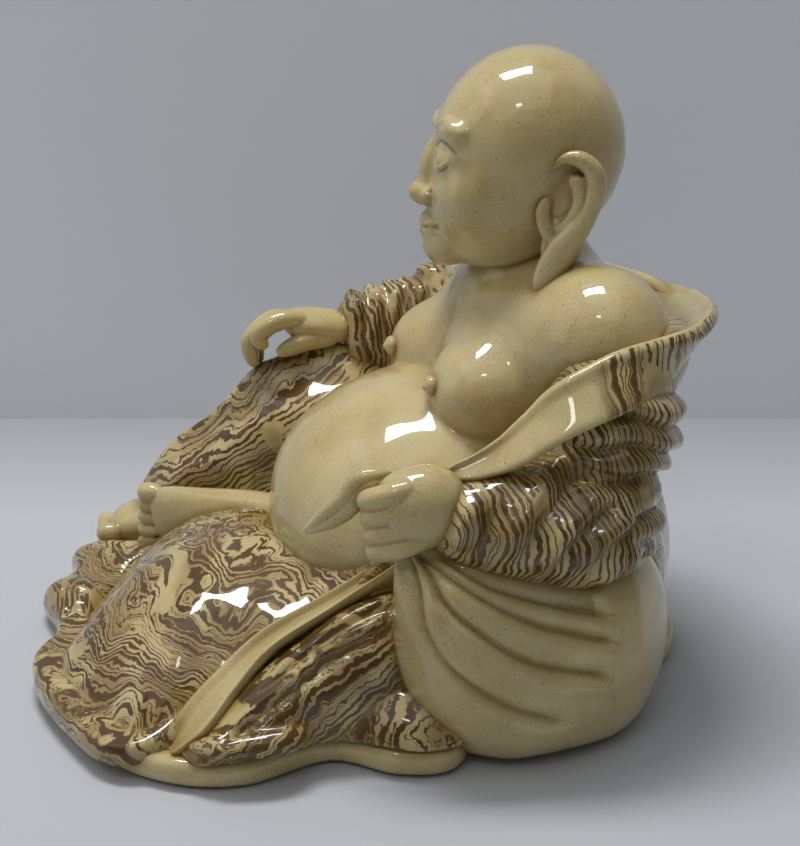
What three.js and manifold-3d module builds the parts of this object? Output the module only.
// A seated laughing monk in marbled and plain clay, glazed all over.
// The figure faces -Y and its left side is +X. Sizes are in millimetres.
// The hollow body, head and sack are pressed in moulds. The marbled robe is cut from slabs and laid
// over the body, and the ears, hands, feet and trims are shaped by hand and luted on.
import * as THREE from 'three';
import { mergeVertices } from 'three/addons/utils/BufferGeometryUtils.js';
import Module from 'manifold-3d';

const wasm = await Module();
wasm.setup();

// Walls, sheets and seams
const SEAM = 0.3; // slip joint between two luted pieces
const BODY_WALL = 4.5; // pressed wall of the body
const HEAD_WALL = 4; // pressed wall of the head
const SACK_WALL = 4; // pressed wall of the sack
const ROBE_SHEET = 3.2; // marbled slab of the robe
const SLAB_THICK = 6.4; // plain slab under the figure
const SLAB_ROUND = 1.2; // rounding of the slab's edge
const VENT_RADIUS = 10; // hole in the slab that lets the kiln gas out
const FLOOR = SLAB_THICK + SEAM; // height at which the pieces stand on the slab

// Body, as ellipsoids that one skin is drawn over
const BODY_HEART = [0, -4, 60]; // middle that the whole skin can be seen from
const BELLY_AT = [0, -21, 38];
const BELLY_SIZE = [42, 40, 32];
const SEAT_AT = [0, 5, 24];
const SEAT_SIZE = [41, 33, 34];
const CHEST_AT = [0, 5, 76];
const CHEST_SIZE = [33, 23, 25];
const BREAST_AT = [17, -13, 72.5];
const BREAST_SIZE = [14.5, 13, 12.5];
const SHOULDER_AT = [32, 9, 88];
const SHOULDER_SIZE = [16.5, 15, 15.5];
const YOKE_AT = [18, 8, 86]; // flesh between the neck and the shoulder
const YOKE_SIZE = [20, 16, 13];
const NECK_RADIUS = 15;
const NECK_SUNK = 15.4; // how far the top of the neck stays below the middle of the head
const NIPPLE_RADIUS = 2.5;
const NIPPLE_RISE = 2.5; // above the middle of the breast
const BODY_BLEND = 0.36; // how sharply the body's forms meet, per millimetre

// Head, in its own frame: the middle of the skull is the origin
const HEAD_AT = [0, 3, 126.4];
const HEAD_TURN = 12; // degrees towards the figure's right
const HEAD_TILT = 5; // degrees backwards
const SKULL_SIZE = [22.6, 22.5, 23.2];
const JAW_AT = [0, -4.5, -13.5];
const JAW_SIZE = [19.5, 17.5, 16.5];
const CHEEK_AT = [9.5, -13.5, -11.5];
const CHEEK_SIZE = [8.5, 7.5, 8.5];
const CHIN_AT = [0, -18, -24.5];
const CHIN_SIZE = [7.5, 5, 5];
const BROW_AT = [7, -18.5, 3];
const BROW_SIZE = [8, 3.8, 3.5];
const EYE_AT = [8.2, -19, -3.6];
const EYE_SIZE = [5, 3, 3];
const NOSE_AT = [0, -22.5, -8];
const NOSE_SIZE = [2.6, 3, 6.5];
const NOSE_TIP_AT = [0, -24.5, -12.5];
const NOSE_TIP_RADIUS = 2.9;
const NOSTRIL_AT = [3.2, -22.6, -13.2];
const NOSTRIL_RADIUS = 1.9;
const LIP_AT = [0, -21.3, -20.2];
const LIP_SIZE = [6, 2.6, 1.9];
const HEAD_HEART = [0, -4, -6]; // middle that the whole head can be seen from
const HEAD_BLEND = 0.75;
const FACE_CROWD = 1.35; // how much finer the mesh is on the face than behind it
const NECK_BORE = 9; // opening between the head's hollow and the body's
const EAR_AT = [22.4, 4, 0];
const EAR_RIM = [[-3, -7], [-0.5, -1], [4, 2], [8.8, -0.5], [9.6, -7], [6.5, -15], [2.5, -22], [0.5, -27.5]];
// Half width and half thickness of the rim, which widens into the lobe
const EAR_RIM_SIZE = [
  [1.6, 1.6], [2, 2], [2.3, 2.3], [2.4, 2.4], [2.4, 2.4], [3, 2.6], [4.2, 2.8], [3.8, 2.7],
];
const EAR_BOWL_AT = [3, -7.5];
const EAR_BOWL_SIZE = [2, 5.5, 8];
const EAR_FLARE = 0.28; // how far the rim stands off the head for each millimetre back

// Arms in their sleeves, each path from the shoulder or the elbow outwards
const LEFT_UPPER_ARM = [[39, 10, 84], [44, 7, 74], [46, 1, 61]];
const LEFT_UPPER_ARM_SIZE = [12, 15.5, 14];
const LEFT_FOREARM = [[45, 15, 54], [48, 0, 53], [51, -16, 54.5], [50, -36, 57.5]];
const LEFT_FOREARM_SIZE = [12, 17, 13.5, 9.5];
const RIGHT_UPPER_ARM = [[-38, 10, 84], [-47, 4, 79], [-51, -6, 72]];
const RIGHT_UPPER_ARM_SIZE = [11, 13, 12];
const RIGHT_FOREARM = [[-50, 2, 74], [-51, -14, 70], [-49, -31, 67]];
const RIGHT_FOREARM_SIZE = [[12, 12], [11, 12.5], [9, 12.5]];
const SLEEVE_RIDGES = 5;
const SLEEVE_RIDGE_DEPTH = 1.2;

// Hands
const LEFT_PALM = [[50, -30, 57], [50.5, -38, 56], [50.5, -47, 55.5]];
const LEFT_PALM_SIZE = [[6, 7], [6.5, 9], [5, 8.2]];
const LEFT_KNUCKLE = [51.5, -46.5, 61]; // first of four, each lower than the one before
const LEFT_FINGER = [[0, 6, 0], [-0.6, -1, 0], [-4.2, -3.4, 0], [-8, -1, 0]];
const LEFT_FINGER_STEP = [0.5, 0.6, -3.5];
const LEFT_THUMB = [[46, -34, 59], [43, -40, 60], [42.5, -46.5, 58.5]];
const RIGHT_PALM = [[-49.5, -27, 70.5], [-50.5, -38, 73.5], [-52, -47, 74.5]];
const RIGHT_PALM_SIZE = [[6, 4.6], [7, 4.2], [7, 3.4]];
const RIGHT_FINGERS = [
  [[-47, -42, 75], [-46.8, -49.5, 75.2], [-47.2, -55.3, 71.8], [-47.4, -53.4, 67.6]],
  [[-50.4, -44, 75.2], [-50.6, -51, 74.6], [-51, -56.8, 69.5], [-51.2, -55.8, 62.5]],
  [[-54, -44, 74.4], [-54.3, -50.5, 73.6], [-54.8, -56, 68.3], [-55, -55.2, 61.6]],
  [[-57.2, -43, 72.8], [-57.8, -49, 71.8], [-58.4, -54, 67], [-58.6, -53.4, 61.4]],
];
const RIGHT_THUMB = [[-46.5, -33, 69], [-46, -40.7, 67.7], [-47, -50.9, 65.1]];
const FINGER_SIZE = [2.6, 2.5, 2.3, 2.1];
const THUMB_SIZE = [3.4, 2.9, 2.3];

// Feet
const LEFT_FOOT = [[-12, -48, 29], [-26, -60, 27.5], [-37, -74, 25], [-46.5, -86, 22.5]];
const LEFT_FOOT_SIZE = [[5, 6.5], [5.5, 7], [5.5, 7.8], [4.5, 9.6]];
const LEFT_TOE = [-48, -87.6, 29.6]; // the big toe, the others step down from it
const LEFT_TOE_STEP = [0.4, 0.5, -3.7];
const RIGHT_FOOT = [[-63, -76, 13], [-66, -88, 13], [-68.5, -97, 11.5]];
const RIGHT_FOOT_SIZE = [[8, 6], [9, 6], [8, 4]];
const RIGHT_TOE = [-61, -99, 12];
const RIGHT_TOE_STEP = [-3.9, 0.5, -0.4];
const LEFT_TOE_AHEAD = [-0.6, -0.8, 0];
const RIGHT_TOE_AHEAD = [-0.25, -0.95, 0];
const TOE_LENGTH = 5.5;
const BIG_TOE_RADIUS = 3.3;
const SMALL_TOE_RADIUS = 2.3;

// Turned back edge of the robe, from the middle of the back over each shoulder to the cuff
const LEFT_COLLAR = [
  [0.4, 42, 88.5], [22, 38, 87.5], [37, 27, 87], [47.5, 14, 87],
  [51.5, 0, 86], [52, -11, 80.5], [51, -22, 73.5], [48.5, -32, 66.5],
];
const RIGHT_COLLAR = [
  [-0.4, 42, 88.5], [-22, 38, 87.5], [-37, 27, 87], [-47.5, 15, 87], [-53, 4, 84], [-57, -6, 79],
];
// Half wall and half width of the turned edge at each point of its path
const LEFT_COLLAR_SIZE = [
  [2.4, 9], [2.4, 9], [2.4, 8], [2.2, 7],
  [2, 6.5], [1.8, 5.8], [1.6, 4.8], [1.4, 3],
];
const RIGHT_COLLAR_SIZE = [[2.4, 9], [2.4, 9], [2.4, 8], [2.2, 6.5], [1.8, 4.5], [1.4, 2.4]];
const COLLAR_LEAN = [35, 125]; // degrees outwards at the back and at the cuff

// Sack, held by its neck in the left hand
const SACK_PATH = [[50, -43, 53], [52, -34, 40], [45, -16, 22], [40, 4, 20], [38, 24, 20]];
const SACK_SIZE = [[4, 4], [14, 14], [24, 29], [25, 32], [18, 27]];
const SACK_FOLDS = 9;
const SACK_FOLD_DEPTH = 1.3;
const TAIL_PATH = [[46, -44, 65], [44, -50, 63], [42, -54, 58], [38, -60, 50]];
const TAIL_SIZE = [2.8, 3, 3.4, 2.6];

// Robe over the legs: each station is where a fold's crest stands, its half width and its height
const RIGHT_LEG = [
  { at: [-34, 22], half: 20, top: 40 },
  { at: [-42, -8], half: 25, top: 56 },
  { at: [-50, -33], half: 26, top: 65 },
  { at: [-56, -53], half: 22, top: 59.5 },
  { at: [-61, -67], half: 18.5, top: 45 },
  { at: [-66, -79], half: 15, top: 37.5 },
  { at: [-69, -90], half: 12, top: 27 },
];
const LEG_FOLDS = 9; // half waves of the long folds over the raised leg
const LEG_FOLD_DEPTH = 1.3;
const LEG_FOLD_TWIST = 2; // how far, in radians, the folds turn towards the lap on their way down
const SIDE_FOLD = [
  { at: [37, -32], half: 11.5, top: 41 },
  { at: [41, -51], half: 11, top: 33 },
  { at: [42.5, -64], half: 10, top: 26 },
  { at: [45, -78], half: 9, top: 17 },
  { at: [48.5, -91], half: 7, top: 8.5 },
];
// Rolled front end of the side fold, over the slab's rim
const ROLL_PATH = [[47.5, -90, 8.8], [51.5, -82, 9.8], [52.6, -72, 10.2], [50, -62, 10.4]];
const ROLL_SIZE = [[2.4, 1.8], [3.8, 2.8], [4, 3.1], [2.8, 2.6]];
// Robe over the folded left leg: its hem on the slab, the crease above the hem, the crease's height
// and how far the hem swells between the two
const LAP = [
  { hem: [42, -103], crease: [39, -99], low: 9, swell: 0.4 },
  { hem: [28, -112], crease: [26, -107.5], low: 8.6, swell: 0.6 },
  { hem: [0, -119.5], crease: [3, -114.5], low: 8.2, swell: 0.6 },
  { hem: [-15, -113], crease: [-13, -108], low: 8.8, swell: 0.4 },
  { hem: [-37, -116], crease: [-24, -103], low: 9.4, swell: 3.2 },
  { hem: [-47, -108.5], crease: [-33, -97.5], low: 10, swell: 1.2 },
  { hem: [-61, -107], crease: [-39, -92], low: 12.4, swell: 2.8 },
  { hem: [-59, -98.5], crease: [-41, -86], low: 17, swell: 1.4 },
  { hem: [-47, -88], crease: [-36.5, -79], low: 23.5, swell: 0 },
  { hem: [-37, -74], crease: [-31, -73], low: 28, swell: 0 },
  { hem: [-28, -60], crease: [-23, -64], low: 32, swell: 0 },
  { hem: [-12, -44], crease: [-9, -56], low: 34, swell: 0 },
  { hem: [4, -40], crease: [5, -54], low: 38, swell: 0 },
  { hem: [18, -36], crease: [17.5, -51], low: 44.5, swell: 0 },
  { hem: [30, -32], crease: [28, -45], low: 48, swell: 0 },
  { hem: [38, -36], crease: [35.5, -41.5], low: 44.5, swell: 0 },
  { hem: [38, -54], crease: [34.5, -54], low: 31, swell: 0 },
  { hem: [39, -68], crease: [35, -69], low: 25, swell: 0 },
  { hem: [41, -82], crease: [37, -82], low: 16.5, swell: 0 },
];
const LAP_TOP = [0, -67, 34]; // where the folded left leg lifts the robe highest
const LAP_DOME = 2.6; // how flat the robe lies on the leg before it falls to the crease
const SKIRT_HEM = [[49, -60], [55, -52], [60, -44], [61.5, -33], [54, -24], [44, -28], [43, -44], [45, -56]];
const SKIRT_TOP = [50, -39];
const SKIRT_RISE = 10;
const LINING_PATH = [
  [35.5, -40, 39.5], [35.5, -55, 31.5], [36.2, -71, 23.5], [39, -81, 16.5], [42.5, -90, 9],
];
const LINING_SIZE = [[2.4, 1.8], [2.6, 1.8], [3.4, 1.8], [5.6, 1.8], [5.4, 1.6]];

// Outline of the slab, from the sack round the front, the right foot and the back
const SLAB_FRONT = [
  [61.5, -35], [59.5, -46], [50.5, -59], [54, -79], [50.5, -92], [42, -103], [28, -112], [0, -119.5],
  [-15, -113], [-37, -116], [-47, -108.5], [-61, -107], [-76, -99],
];
const SLAB_BACK = [[-84, -84], [-87, -58], [-80, -28], [-68, 2], [-56, 24], [-34, 39], [0, 44], [24, 38]];
const SLAB_UNDER_SACK = [[34, 28], [36, 10], [40, -10], [55, -27]];

// Robe down the back
const BACK_FOLDS = 8;
const BACK_FOLD_DEPTH = 1.4;
const BACK_TOP = 88;
const BACK_EDGE = 2; // how far forward of the body's middle plane the robe comes at its sides

const vector = (p) => new THREE.Vector3(...p);
const mirrored = ([x, y, z]) => [-x, y, z];
const radians = THREE.MathUtils.degToRad;

// A closed geometry as a solid, turned outwards if its map turned it inside out.
function solidOf(geometry) {
  const bare = new THREE.BufferGeometry();
  bare.setAttribute('position', geometry.getAttribute('position').clone());
  bare.setIndex(geometry.index);
  const merged = mergeVertices(bare, 1e-4);
  const triVerts = new Uint32Array(merged.index.array);
  const vertProperties = merged.getAttribute('position').array;
  const made = new wasm.Manifold(new wasm.Mesh({ numProp: 3, vertProperties, triVerts }));
  if (made.volume() >= 0) return made;
  for (let i = 0; i < triVerts.length; i += 3)
    [triVerts[i + 1], triVerts[i + 2]] = [triVerts[i + 2], triVerts[i + 1]];
  return new wasm.Manifold(new wasm.Mesh({ numProp: 3, vertProperties, triVerts }));
}

const join = (...solids) => solids.reduce((a, b) => a.add(b));
const cut = (solid, ...tools) => tools.reduce((a, b) => a.subtract(b), solid);

// The largest of the bodies that a cut leaves, without the crumbs beside it.
function largest(solid) {
  const bodies = solid.decompose();
  return bodies.reduce((a, b) => (b.volume() > a.volume() ? b : a));
}

// A sphere's mesh moved onto the surface that place(angle, share) gives, then into a frame. At shares
// 0 and 1 place gives one point for every angle.
function swept(around, along, place, frame = new THREE.Matrix4()) {
  const geometry = new THREE.SphereGeometry(1, around, along);
  const spots = geometry.getAttribute('position');
  for (let i = 0; i < spots.count; i++) {
    const spot = new THREE.Vector3().fromBufferAttribute(spots, i);
    const share = Math.acos(THREE.MathUtils.clamp(spot.y, -1, 1)) / Math.PI;
    const moved = place(Math.atan2(spot.z, spot.x), share).applyMatrix4(frame);
    spots.setXYZ(i, moved.x, moved.y, moved.z);
  }
  return solidOf(geometry);
}

// An ellipsoid, grown on every side by grow.
function ball(at, size, grow = 0, around = 14, along = 10, frame = new THREE.Matrix4()) {
  const centre = vector(at);
  const half = vector(size).addScalar(grow);
  return swept(around, along, (angle, share) => {
    const rim = Math.sin(Math.PI * share);
    const spot = new THREE.Vector3(rim * Math.cos(angle), rim * Math.sin(angle), Math.cos(Math.PI * share));
    return spot.multiply(half).add(centre);
  }, frame);
}

// A round bar between two heights.
function bar(at, radius, low, high, sides = 24) {
  const geometry = new THREE.CylinderGeometry(radius, radius, high - low, sides);
  geometry.rotateX(Math.PI / 2);
  geometry.translate(at[0], at[1], (high + low) / 2);
  return solidOf(geometry);
}

// A box between two corners.
function block(low, high) {
  const geometry = new THREE.BoxGeometry(...high.map((h, i) => h - low[i]));
  geometry.translate(...high.map((h, i) => (h + low[i]) / 2));
  return solidOf(geometry);
}

// How far a point lies outside an ellipsoid, nearly.
function outside(spot, { at, size }) {
  const away = spot.clone().sub(vector(at));
  const scaled = away.clone().divide(vector(size));
  const steep = scaled.clone().divide(vector(size)).length();
  return (scaled.length() * (scaled.length() - 1)) / Math.max(steep, 1e-6);
}

// One skin drawn over several ellipsoids, with soft creases between them. It is seen whole from the
// heart, and its poles lie above and below the heart, or before and behind it. With crowd above 1 the
// mesh is finer round the first pole.
function skin(heart, forms, options = {}) {
  const { grow = 0, around = 28, along = 20, blend = BODY_BLEND, face = false, crowd = 1, frame } = options;
  const { ripple = () => 0 } = options;
  const reach = 120;
  const step = 2;
  const middle = vector(heart);
  const depth = (spot) => {
    const sum = forms.reduce((total, form) => total + Math.exp(-blend * outside(spot, form)), 0);
    return -Math.log(sum) / blend;
  };
  return swept(around, along, (angle, share) => {
    const lean = Math.PI * share ** crowd;
    const [a, b, c] = [Math.sin(lean) * Math.cos(angle), Math.sin(lean) * Math.sin(angle), Math.cos(lean)];
    const ray = face ? new THREE.Vector3(a, -c, b) : new THREE.Vector3(a, b, c);
    const limit = grow + ripple(ray);
    const spotAt = (far) => middle.clone().addScaledVector(ray, far);
    let far = reach;
    while (far > step && depth(spotAt(far)) > limit) far -= step;
    let [inner, outer] = [far, far + step];
    for (let i = 0; i < 12; i++) {
      const half = (inner + outer) / 2;
      if (depth(spotAt(half)) > limit) outer = half;
      else inner = half;
    }
    return spotAt(inner);
  }, frame);
}

// How full a limb or ridge is at a share of its length: round at both ends.
const fullness = (share, blunt) => (1 - Math.abs(2 * share - 1) ** blunt) ** (1 / blunt);

// A limb of changing radius along a smooth path. radii holds a number, or a width and a height, for
// each point, lean turns the section at the first and the last point, and ripple(angle, share) adds
// to the radius.
function limb(path, radii, options = {}) {
  const { grow = 0, around = 12, along = 8, blunt = 5, up = [0, 0, 1], ripple = () => 0 } = options;
  const { lean = [0, 0], frame } = options;
  const line = new THREE.CatmullRomCurve3(path.map(vector));
  const sizes = radii.map((r) => vector(Array.isArray(r) ? [...r, 0] : [r, r, 0]));
  const girth = new THREE.CatmullRomCurve3(sizes);
  const first = line.getTangent(0);
  const last = line.getTangent(1);
  return swept(around, along, (angle, v) => {
    const share = (1 - Math.cos(Math.PI * v)) / 2;
    const middle = line.getPoint(share);
    const ahead = line.getTangent(share);
    const side = new THREE.Vector3().crossVectors(ahead, vector(up)).normalize();
    side.applyAxisAngle(ahead, radians(THREE.MathUtils.lerp(lean[0], lean[1], share)));
    const rise = new THREE.Vector3().crossVectors(side, ahead);
    const full = fullness(share, blunt);
    const size = girth.getPoint(share);
    const extra = grow + ripple(angle, share);
    const end = share < 0.5 ? -(1 - 2 * share) : 2 * share - 1;
    return middle
      .addScaledVector(side, Math.cos(angle) * full * (size.x + extra))
      .addScaledVector(rise, Math.sin(angle) * full * (size.y + extra))
      .addScaledVector(share < 0.5 ? first : last, end * grow);
  }, frame);
}

// A smooth fold of the robe that stands on the slab: an arch whose half width and height follow the
// stations. Most of its mesh is on the arch, and ripple(angle, share) adds to the arch.
function ridge(stations, { grow = 0, foot = FLOOR, around = 18, rows = 13, ripple = () => 0 } = {}) {
  const line = new THREE.CatmullRomCurve3(stations.map((s) => new THREE.Vector3(...s.at, 0)));
  const size = new THREE.CatmullRomCurve3(stations.map((s) => new THREE.Vector3(s.half, s.top, 0)));
  const arch = Math.round(around * 0.75); // steps over the arch, the others under it
  return swept(around, rows, (turn, v) => {
    const step = ((turn / (2 * Math.PI) + 1) % 1) * around;
    const angle = Math.PI * (step < arch ? step / arch : 1 + (step - arch) / (around - arch));
    const share = (1 - Math.cos(Math.PI * v)) / 2;
    const middle = line.getPoint(share);
    const ahead = line.getTangent(share);
    const full = fullness(share, 4);
    const { x: half, y: top } = size.getPoint(share);
    const extra = grow + ripple(angle, share);
    const across = Math.cos(angle) * full * (half + extra);
    const rise = Math.max(0, Math.sin(angle)) ** 0.8 * full * (top + extra - FLOOR);
    const end = (2 * share - 1) * grow;
    const height = rise > 1e-6 ? FLOOR + rise : foot;
    const spot = middle.addScaledVector(ahead, end);
    return new THREE.Vector3(spot.x - ahead.y * across, spot.y + ahead.x * across, height);
  });
}

// A mound over a closed outline, highest at top, that stands on the slab.
function mound(outline, top, rise, { grow = 0, foot = FLOOR, edge = 1.6, around = 40, rows = 10 } = {}) {
  const loop = new THREE.CatmullRomCurve3(outline.map(([x, y]) => new THREE.Vector3(x, y, 0)), true);
  const crest = new THREE.Vector3(...top, 0);
  const rim = 0.8; // share of the mesh that is the upper surface
  return swept(around, rows, (angle, v) => {
    const hem = loop.getPoint((angle / (2 * Math.PI) + 1) % 1);
    const out = hem.clone().sub(crest).setLength(Math.max(1, hem.distanceTo(crest) + grow));
    if (v > rim + 1e-9) return crest.clone().addScaledVector(out, (1 - v) / (1 - rim)).setZ(foot);
    const share = v / rim;
    const height = (edge + grow) * (1 - share ** 8) + (rise - edge) * (1 - share ** 2.1);
    const level = v < rim - 1e-9 ? Math.max(foot, FLOOR + height) : foot;
    return crest.clone().addScaledVector(out, share).setZ(level);
  });
}

// Robe laid over a closed ring of stations: it falls from its top to the crease, swells again to the
// hem and stands on the slab.
function flounced(ring, top, { grow = 0, foot = FLOOR, edge = 1.6, around = 40, rows = 12 } = {}) {
  const hem = new THREE.CatmullRomCurve3(ring.map((s) => new THREE.Vector3(...s.hem, s.swell)), true);
  const fold = new THREE.CatmullRomCurve3(ring.map((s) => new THREE.Vector3(...s.crease, s.low)), true);
  const upper = 0.5; // share of the mesh above the crease
  const rim = 5 / 6; // share of the mesh above the hem
  return swept(around, rows, (angle, v) => {
    const turn = (angle / (2 * Math.PI) + 1) % 1;
    const edgeSpot = hem.getPoint(turn);
    const low = fold.getPoint(turn);
    const swell = edgeSpot.z;
    const crest = vector(top);
    const push = edgeSpot.clone().sub(crest).setZ(0).normalize().multiplyScalar(grow);
    const out = edgeSpot.clone().add(push).sub(crest);
    if (v > rim + 1e-9) return crest.clone().addScaledVector(out, (1 - v) / (1 - rim)).setZ(foot);
    if (v <= upper + 1e-9) {
      const share = v / upper;
      const level = low.z + (crest.z - low.z) * (1 - share ** LAP_DOME) + grow;
      return crest.clone().lerp(low, share).addScaledVector(push, share).setZ(Math.max(foot, level));
    }
    const share = (v - upper) / (rim - upper);
    const slope = (low.z - FLOOR) * (1 - share) + edge * share + swell * Math.sin(Math.PI * share);
    const level = FLOOR + (slope + grow) * (1 - share ** 8);
    return low.clone().lerp(edgeSpot, share).add(push).setZ(v < rim - 1e-9 ? Math.max(foot, level) : foot);
  });
}

// Body and head. The neck reaches from the middle of the chest into the head.
const NECK_TOP = HEAD_AT[2] - NECK_SUNK;
const NECK = {
  at: [CHEST_AT[0], CHEST_AT[1], (CHEST_AT[2] + NECK_TOP) / 2],
  size: [NECK_RADIUS, NECK_RADIUS, (NECK_TOP - CHEST_AT[2]) / 2],
};
const BODY_FORMS = [
  { at: BELLY_AT, size: BELLY_SIZE },
  { at: SEAT_AT, size: SEAT_SIZE },
  { at: CHEST_AT, size: CHEST_SIZE },
  { at: BREAST_AT, size: BREAST_SIZE },
  { at: mirrored(BREAST_AT), size: BREAST_SIZE },
  { at: SHOULDER_AT, size: SHOULDER_SIZE },
  { at: mirrored(SHOULDER_AT), size: SHOULDER_SIZE },
  { at: YOKE_AT, size: YOKE_SIZE },
  { at: mirrored(YOKE_AT), size: YOKE_SIZE },
  NECK,
];
const bodyForm = (grow = 0, detail = {}) => skin(BODY_HEART, BODY_FORMS, { grow, ...detail });

const HEAD_FRAME = new THREE.Matrix4()
  .makeTranslation(...HEAD_AT)
  .multiply(new THREE.Matrix4().makeRotationZ(radians(-HEAD_TURN)))
  .multiply(new THREE.Matrix4().makeRotationX(radians(-HEAD_TILT)));
const round = (radius) => [radius, radius, radius];
const HEAD_FORMS = [
  { at: [0, 0, 0], size: SKULL_SIZE },
  { at: JAW_AT, size: JAW_SIZE },
  { at: CHEEK_AT, size: CHEEK_SIZE },
  { at: mirrored(CHEEK_AT), size: CHEEK_SIZE },
  { at: CHIN_AT, size: CHIN_SIZE },
];
const FACE_FORMS = [
  { at: BROW_AT, size: BROW_SIZE },
  { at: mirrored(BROW_AT), size: BROW_SIZE },
  { at: EYE_AT, size: EYE_SIZE },
  { at: mirrored(EYE_AT), size: EYE_SIZE },
  { at: NOSE_AT, size: NOSE_SIZE },
  { at: NOSE_TIP_AT, size: round(NOSE_TIP_RADIUS) },
  { at: NOSTRIL_AT, size: round(NOSTRIL_RADIUS) },
  { at: mirrored(NOSTRIL_AT), size: round(NOSTRIL_RADIUS) },
  { at: LIP_AT, size: LIP_SIZE },
];
const onFace = { blend: HEAD_BLEND, face: true, crowd: FACE_CROWD, frame: HEAD_FRAME };
function headForm(grow = 0, forms = [...HEAD_FORMS, ...FACE_FORMS], around = 25, along = 19) {
  return skin(HEAD_HEART, forms, { grow, around, along, ...onFace });
}

// Arms, hands and collars
function gathers(angle, share) {
  const wave = Math.sin(2 * Math.PI * SLEEVE_RIDGES * share + Math.sin(angle));
  return SLEEVE_RIDGE_DEPTH * Math.sin(Math.PI * share) * wave;
}
const fineLimb = { around: 12, along: 16, ripple: gathers };

const leftSleeveForm = (grow = 0, detail = {}) => join(
  limb(LEFT_UPPER_ARM, LEFT_UPPER_ARM_SIZE, { grow, up: [0, 1, 0], ...detail }),
  limb(LEFT_FOREARM, LEFT_FOREARM_SIZE, { grow, ...detail }),
);
const rightSleeveForm = (grow = 0, detail = {}) => join(
  limb(RIGHT_UPPER_ARM, RIGHT_UPPER_ARM_SIZE, { grow, ...detail }),
  limb(RIGHT_FOREARM, RIGHT_FOREARM_SIZE, { grow, ...detail }),
);

// Fingers side by side, each a bent roll of clay.
function fingers(paths, grow, up) {
  return join(...paths.map((path) => limb(path, FINGER_SIZE, { grow, around: 7, along: 6, blunt: 3, up })));
}
const LEFT_FINGERS = [0, 1, 2, 3].map((finger) => {
  const root = vector(LEFT_KNUCKLE).addScaledVector(vector(LEFT_FINGER_STEP), finger);
  return LEFT_FINGER.map((p) => vector(p).add(root).toArray());
});

const leftHandForm = (grow = 0) => join(
  limb(LEFT_PALM, LEFT_PALM_SIZE, { grow, blunt: 4 }),
  fingers(LEFT_FINGERS, grow, [0, 0, 1]),
  limb(LEFT_THUMB, THUMB_SIZE, { grow, around: 8, along: 6, blunt: 3 }),
);
const rightHandForm = (grow = 0) => join(
  limb(RIGHT_PALM, RIGHT_PALM_SIZE, { grow, blunt: 4 }),
  fingers(RIGHT_FINGERS, grow, [1, 0, 0]),
  limb(RIGHT_THUMB, THUMB_SIZE, { grow, around: 8, along: 6, blunt: 3 }),
);
const strip = { around: 8, along: 20, blunt: 8 };
const leftCollarForm = (grow = 0) =>
  limb(LEFT_COLLAR, LEFT_COLLAR_SIZE, { grow, ...strip, lean: COLLAR_LEAN.map((turn) => -turn) });
const rightCollarForm = (grow = 0) =>
  limb(RIGHT_COLLAR, RIGHT_COLLAR_SIZE, { grow, ...strip, lean: COLLAR_LEAN });

// Feet, each with a big toe and four small ones
function toes(first, step, ahead, grow) {
  const rolls = [0, 1, 2, 3, 4].map((toe) => {
    const radius = toe === 0 ? BIG_TOE_RADIUS : SMALL_TOE_RADIUS;
    const root = vector(first).addScaledVector(vector(step), toe);
    const tip = root.clone().addScaledVector(vector(ahead), TOE_LENGTH / 2);
    const heel = root.clone().addScaledVector(vector(ahead), -TOE_LENGTH / 2);
    const detail = { grow, around: 6, along: 5, blunt: 2.5 };
    return limb([heel.toArray(), tip.toArray()], [radius, radius], detail);
  });
  return join(...rolls);
}
const leftFootForm = (grow = 0) => join(
  limb(LEFT_FOOT, LEFT_FOOT_SIZE, { grow, blunt: 4 }),
  toes(LEFT_TOE, LEFT_TOE_STEP, LEFT_TOE_AHEAD, grow),
);
const rightFootForm = (grow = 0) => join(
  limb(RIGHT_FOOT, RIGHT_FOOT_SIZE, { grow, blunt: 4 }),
  toes(RIGHT_TOE, RIGHT_TOE_STEP, RIGHT_TOE_AHEAD, grow),
);

// Ear: a rolled rim that ends in the long lobe, round a shallow bowl.
function earForm(side, grow = 0) {
  const [out, back, rise] = EAR_AT;
  const spot = ([b, r]) => [side * (out + EAR_FLARE * b), back + b, rise + r];
  const detail = { grow, around: 8, along: 13, blunt: 4, up: [1, 0, 0], frame: HEAD_FRAME };
  const rim = limb(EAR_RIM.map(spot), EAR_RIM_SIZE, detail);
  return join(rim, ball(spot(EAR_BOWL_AT), EAR_BOWL_SIZE, grow, 10, 8, HEAD_FRAME));
}

// Sack and its twisted end
const sackFolds = (angle, share) =>
  SACK_FOLD_DEPTH * Math.sin(Math.PI * share) * Math.cos(SACK_FOLDS * angle);
const sackForm = (grow = 0, detail = {}) => limb(SACK_PATH, SACK_SIZE, { grow, blunt: 3, ...detail });
const tailForm = (grow = 0) => limb(TAIL_PATH, TAIL_SIZE, { grow, around: 12, along: 10, blunt: 3 });

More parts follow.
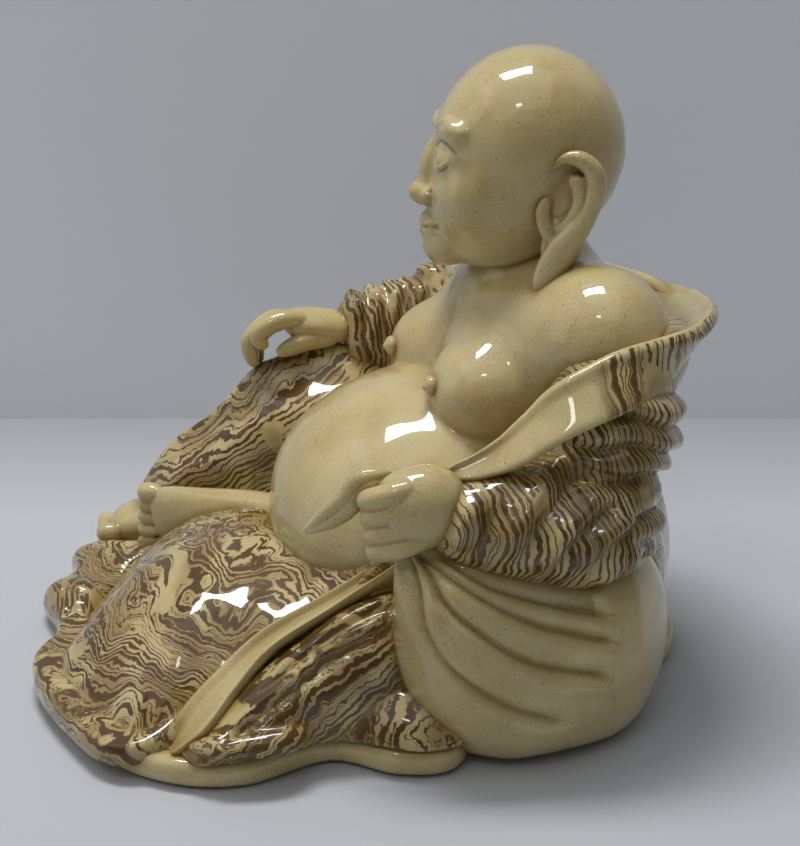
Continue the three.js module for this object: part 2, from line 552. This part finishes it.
// Robe over the legs and at the side
const legFolds = (angle, share) =>
  LEG_FOLD_DEPTH * Math.sin(Math.PI * share) * Math.sin(LEG_FOLDS * angle + LEG_FOLD_TWIST * share);
const legForm = (detail = {}) => ridge(RIGHT_LEG, { around: 24, ripple: legFolds, ...detail });
const lapForm = (detail = {}) => flounced(LAP, LAP_TOP, detail);
const foldForm = (detail = {}) => ridge(SIDE_FOLD, detail);
const rollForm = (grow = 0) => limb(ROLL_PATH, ROLL_SIZE, { grow, around: 10, along: 8, blunt: 3 });
const skirtForm = (detail = {}) =>
  mound(SKIRT_HEM, SKIRT_TOP, SKIRT_RISE, { around: 22, rows: 8, ...detail });
const liningForm = (grow = 0) => limb(LINING_PATH, LINING_SIZE, { grow, around: 10, along: 14, blunt: 6 });

// The robe's fall down the back, with soft upright folds.
const backFolds = (ray) =>
  BACK_FOLD_DEPTH * Math.sin(BACK_FOLDS * Math.atan2(ray.x, ray.y)) * (1 - ray.z ** 2);
const backForm = () => bodyForm(ROBE_SHEET + SEAM, { around: 36, along: 13, ripple: backFolds });

// Each neighbour with the seam round it, to cut the piece that is laid against it
const FAR = 300;
const SEAMED = { grow: SEAM, foot: FLOOR - SEAM };
const SUNK = { grow: -ROBE_SHEET, foot: -SEAM, around: 14, rows: 8 };
const aroundBody = bodyForm(SEAM);
const aroundHead = headForm(SEAM);
const aroundLeg = legForm(SEAMED);
const aroundLap = lapForm(SEAMED);
const aroundFold = foldForm(SEAMED);
const aroundSkirt = skirtForm(SEAMED);
const aroundSack = sackForm(SEAM, { around: 27, along: 11, ripple: sackFolds });
const aroundLeftSleeve = leftSleeveForm(SEAM, fineLimb);
const aroundRightSleeve = rightSleeveForm(SEAM, fineLimb);
const aroundLeftHand = leftHandForm(SEAM);
const aroundLeftCollar = leftCollarForm(SEAM);
const aroundRightCollar = rightCollarForm(SEAM);
const ARM_DETAIL = { around: 10, along: 6 };
const aroundLeftArm = leftSleeveForm(-ROBE_SHEET, ARM_DETAIL);
const aroundRightArm = rightSleeveForm(-ROBE_SHEET, ARM_DETAIL);
const underFloor = block([-FAR, -FAR, -FAR], [FAR, FAR, FLOOR]);
const underSack = block([-FAR, -FAR, -FAR], [FAR, FAR, 0]);
const neckBore = bar(HEAD_AT, NECK_BORE, CHEST_AT[2], HEAD_AT[2]);

// Plain slab: the outline of the hem and the back, inset where the sack stands beside it.
function baseSlab() {
  const outline = [...SLAB_FRONT, ...SLAB_BACK, ...SLAB_UNDER_SACK];
  const loop = new THREE.CatmullRomCurve3(outline.map(([x, y]) => new THREE.Vector3(x, y, 0)), true);
  const points = loop.getPoints(50).slice(0, -1).map((p) => new THREE.Vector2(p.x, p.y));
  const geometry = new THREE.ExtrudeGeometry(new THREE.Shape(points), {
    depth: SLAB_THICK - 2 * SLAB_ROUND,
    bevelThickness: SLAB_ROUND,
    bevelSize: SLAB_ROUND,
    bevelOffset: -SLAB_ROUND,
    bevelSegments: 1,
  });
  geometry.translate(0, 0, SLAB_ROUND);
  const vent = bar([BELLY_AT[0], (BELLY_AT[1] + SEAT_AT[1]) / 2], VENT_RADIUS, -FAR, FAR);
  return cut(solidOf(geometry), vent, aroundSack);
}

function bodyShell() {
  const hollow = bodyForm(-BODY_WALL, { around: 14, along: 11 });
  return cut(bodyForm(), underFloor, hollow, neckBore);
}

function headShell() {
  const hollow = headForm(-HEAD_WALL, HEAD_FORMS.slice(0, 2), 14, 10);
  return cut(headForm(), aroundBody, hollow, neckBore);
}

function nipple(side) {
  const breast = BREAST_AT;
  const at = [side * breast[0], breast[1] - BREAST_SIZE[1], breast[2] + NIPPLE_RISE];
  return cut(ball(at, round(NIPPLE_RADIUS), 0, 14, 10), aroundBody);
}

function sack() {
  const outer = sackForm(0, { around: 27, along: 11, ripple: sackFolds });
  const kept = bodyForm(SEAM + SACK_WALL, { around: 12, along: 10 });
  const hollow = cut(sackForm(-SACK_WALL, { around: 10, along: 6 }), kept);
  const laid = cut(outer, underSack, aroundBody, aroundFold, aroundSkirt, aroundLeftSleeve, aroundLeftHand);
  return cut(laid, hollow);
}

// Clay arm inside a sleeve, and the marbled sleeve round it
const leftArm = () => cut(leftSleeveForm(-ROBE_SHEET - SEAM, ARM_DETAIL), aroundBody);
const rightArm = () => cut(rightSleeveForm(-ROBE_SHEET - SEAM, ARM_DETAIL), aroundBody, aroundLeg);
const leftSleeve = () => cut(leftSleeveForm(0, fineLimb), aroundLeftArm, aroundBody, aroundLeftCollar);
const rightSleeve = () =>
  cut(rightSleeveForm(0, fineLimb), aroundRightArm, aroundBody, aroundLeg, aroundRightCollar);

function robeBack() {
  const front = block([-FAR, -FAR, -FAR], [FAR, BACK_EDGE, FAR]);
  const above = block([-FAR, -FAR, BACK_TOP], [FAR, FAR, FAR]);
  return cut(backForm(), underFloor, front, above, aroundBody, aroundLeftSleeve, aroundRightSleeve,
    aroundLeftCollar, aroundRightCollar, aroundSack, aroundLeg);
}

const leftLegDrape = () =>
  cut(lapForm(), lapForm({ ...SUNK, around: 22, rows: 12 }), aroundBody, aroundLeg);

// The side fold with its rolled front end
const sideSkirt = () => cut(join(foldForm(), rollForm()), foldForm(SUNK), aroundBody, aroundLap);

const plain = new THREE.MeshStandardMaterial({ color: 0xcdbf95, roughness: 0.22, metalness: 0 });
const marbled = new THREE.MeshStandardMaterial({ color: 0x9c8763, roughness: 0.24, metalness: 0 });

const pieces = [
  ['base_slab', baseSlab(), plain],
  ['body_shell', bodyShell(), plain],
  ['head_shell', headShell(), plain],
  ['left_ear', cut(earForm(1), aroundHead, aroundBody), plain],
  ['right_ear', cut(earForm(-1), aroundHead, aroundBody), plain],
  ['left_nipple', nipple(1), plain],
  ['right_nipple', nipple(-1), plain],
  ['left_arm', leftArm(), plain],
  ['right_arm', rightArm(), plain],
  ['left_sleeve', leftSleeve(), marbled],
  ['right_sleeve', rightSleeve(), marbled],
  ['left_collar', cut(leftCollarForm(), aroundBody, aroundHead, aroundLeftArm), plain],
  ['right_collar', cut(rightCollarForm(), aroundBody, aroundHead, aroundRightArm), plain],
  ['robe_back', robeBack(), marbled],
  ['left_hand', cut(leftHandForm(), aroundLeftSleeve, aroundBody, aroundFold), plain],
  ['right_hand', cut(rightHandForm(), aroundRightSleeve, aroundBody, aroundLeg), plain],
  ['sack', sack(), plain],
  ['sack_tail', cut(tailForm(), aroundLeftHand, aroundBody, aroundFold, aroundLap, aroundSack), plain],
  ['left_foot', cut(leftFootForm(), aroundLap, aroundLeg, aroundBody), plain],
  ['right_foot', cut(rightFootForm(), underFloor, aroundLeg, aroundLap), plain],
  ['right_leg_drape', cut(legForm(), legForm({ ...SUNK, ripple: () => 0 }), aroundBody), marbled],
  ['left_leg_drape', leftLegDrape(), marbled],
  ['side_skirt', sideSkirt(), marbled],
  ['skirt_hem', cut(skirtForm(), aroundFold, aroundBody), marbled],
  ['fold_lining', cut(liningForm(), aroundFold, aroundLap, aroundBody), plain],
];

// A solid as a mesh with its name and finish.
function meshOf(name, solid, material) {
  const { vertProperties, triVerts } = solid.getMesh();
  const geometry = new THREE.BufferGeometry();
  geometry.setAttribute('position', new THREE.BufferAttribute(new Float32Array(vertProperties), 3));
  geometry.setIndex(new THREE.BufferAttribute(new Uint32Array(triVerts), 1));
  geometry.computeVertexNormals();
  const mesh = new THREE.Mesh(geometry, material);
  mesh.name = name;
  return mesh;
}

const figure = new THREE.Group();
for (const [name, solid, material] of pieces) figure.add(meshOf(name, largest(solid), material));

// The middle of the bounding box's underside is the origin.
const bounds = new THREE.Box3().setFromObject(figure);
const centre = bounds.getCenter(new THREE.Vector3());
figure.position.set(-centre.x, -centre.y, -bounds.min.z);

export default figure;
